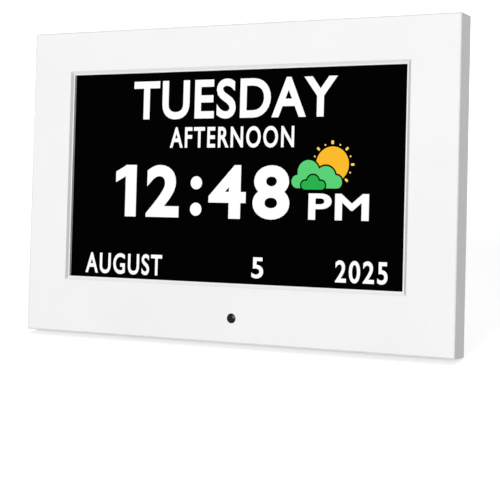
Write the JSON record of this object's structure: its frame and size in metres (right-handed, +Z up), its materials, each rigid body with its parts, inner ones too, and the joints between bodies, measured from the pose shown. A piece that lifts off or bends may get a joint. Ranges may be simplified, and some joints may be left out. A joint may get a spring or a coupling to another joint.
{
  "type": "digital clock",
  "caption": "White framed desk clock with a wide dark display, leaning back on a folding leg, with push buttons and sockets on its back housing.",
  "frame": {"origin": "on the table, at the middle of the standing clock's bounding box", "axes": "+X to the right as the viewer sees the display, +Y towards the back, +Z up"},
  "size_m": [0.225, 0.0568, 0.1476],
  "materials": {
    "white_plastic": "satin moulded",
    "black_rubber": "matte",
    "steel": "zinc plated",
    "clear_plastic": "polished",
    "black_foam": "matte",
    "display_glass": "smooth",
    "film": "satin",
    "board": "lacquered",
    "lamp_yellow": "smooth",
    "black_plastic": "fine grain",
    "sheet_steel": "plated",
    "ribbon_amber": "smooth",
    "socket_ivory": "smooth",
    "dark_gloss": "polished",
    "cell_metal": "satin",
    "can_aluminium": "satin",
    "core_grey": "matte",
    "cone_paper": "matte",
    "magnet_iron": "nickel plated",
    "wire_cover": "smooth",
    "button_plastic": "smooth"
  },
  "bodies": {
    "case": {"front_frame": "white_plastic", "back_cover": "white_plastic", "hinge_pin": "steel", "hinge_washers": "clear_plastic", "case_screws": "steel", "display_gasket": "black_foam", "display_panel": "display_glass", "diffuser_films": "film", "light_guide": "clear_plastic", "reflector_sheet": "film", "backlight_board": "board", "backlight_leds": "lamp_yellow", "display_middle_frame": "black_plastic", "display_tray": "sheet_steel", "display_screws": "steel", "display_ribbon": "ribbon_amber", "ribbon_socket": "socket_ivory", "sensor_lens": "dark_gloss", "infrared_receiver": "black_plastic", "sensor_board": "board", "main_board": "board", "main_board_screws": "steel", "processor_chip": "black_plastic", "memory_chips": "black_plastic", "clock_crystal": "sheet_steel", "backup_cell": "cell_metal", "backup_cell_holder": "black_plastic", "capacitors": "can_aluminium", "power_coil": "core_grey", "usb_socket": "sheet_steel", "card_socket": "sheet_steel", "power_jack": "black_plastic", "power_jack_pin": "sheet_steel", "button_board": "board", "button_board_screws": "steel", "button_switches": "black_plastic", "speaker_basket": "sheet_steel", "speaker_cone": "cone_paper", "speaker_magnet": "magnet_iron", "speaker_seal": "black_foam", "speaker_screws": "steel", "wire_plugs": "socket_ivory", "case_wires": "wire_cover"},
    "leg": {"stand_leg": "white_plastic", "leg_foot": "black_rubber"},
    "button_left": {"button_left": "button_plastic", "switch_plunger_left": "black_plastic"},
    "button_right": {"button_right": "button_plastic", "switch_plunger_right": "black_plastic"},
    "button_down": {"button_down": "button_plastic", "switch_plunger_down": "black_plastic"},
    "button_up": {"button_up": "button_plastic", "switch_plunger_up": "black_plastic"},
    "button_back": {"button_back": "button_plastic", "switch_plunger_back": "black_plastic"},
    "button_menu": {"button_menu": "button_plastic", "switch_plunger_menu": "black_plastic"},
    "button_power": {"button_power": "button_plastic", "switch_plunger_power": "black_plastic"}
  },
  "joints": [
    {"name": "stand_hinge", "type": "hinge", "parent": "case", "child": "leg", "pos_m": [0, 0.00814, 0.07842], "axis": [1, 0, 0], "range_deg": [-25, 0]},
    {"name": "press_left", "type": "slide", "parent": "case", "child": "button_left", "axis": [0, -0.9781, 0.2079], "range_m": [0, 0.0005], "stiffness_N_per_m": 1500},
    {"name": "press_right", "type": "slide", "parent": "case", "child": "button_right", "axis": [0, -0.9781, 0.2079], "range_m": [0, 0.0005], "stiffness_N_per_m": 1500},
    {"name": "press_down", "type": "slide", "parent": "case", "child": "button_down", "axis": [0, -0.9781, 0.2079], "range_m": [0, 0.0005], "stiffness_N_per_m": 1500},
    {"name": "press_up", "type": "slide", "parent": "case", "child": "button_up", "axis": [0, -0.9781, 0.2079], "range_m": [0, 0.0005], "stiffness_N_per_m": 1500},
    {"name": "press_back", "type": "slide", "parent": "case", "child": "button_back", "axis": [0, -0.9781, 0.2079], "range_m": [0, 0.0005], "stiffness_N_per_m": 1500},
    {"name": "press_menu", "type": "slide", "parent": "case", "child": "button_menu", "axis": [0, -0.9781, 0.2079], "range_m": [0, 0.0005], "stiffness_N_per_m": 1500},
    {"name": "press_power", "type": "slide", "parent": "case", "child": "button_power", "axis": [0, -0.9781, 0.2079], "range_m": [0, 0.0005], "stiffness_N_per_m": 1500}
  ]
}
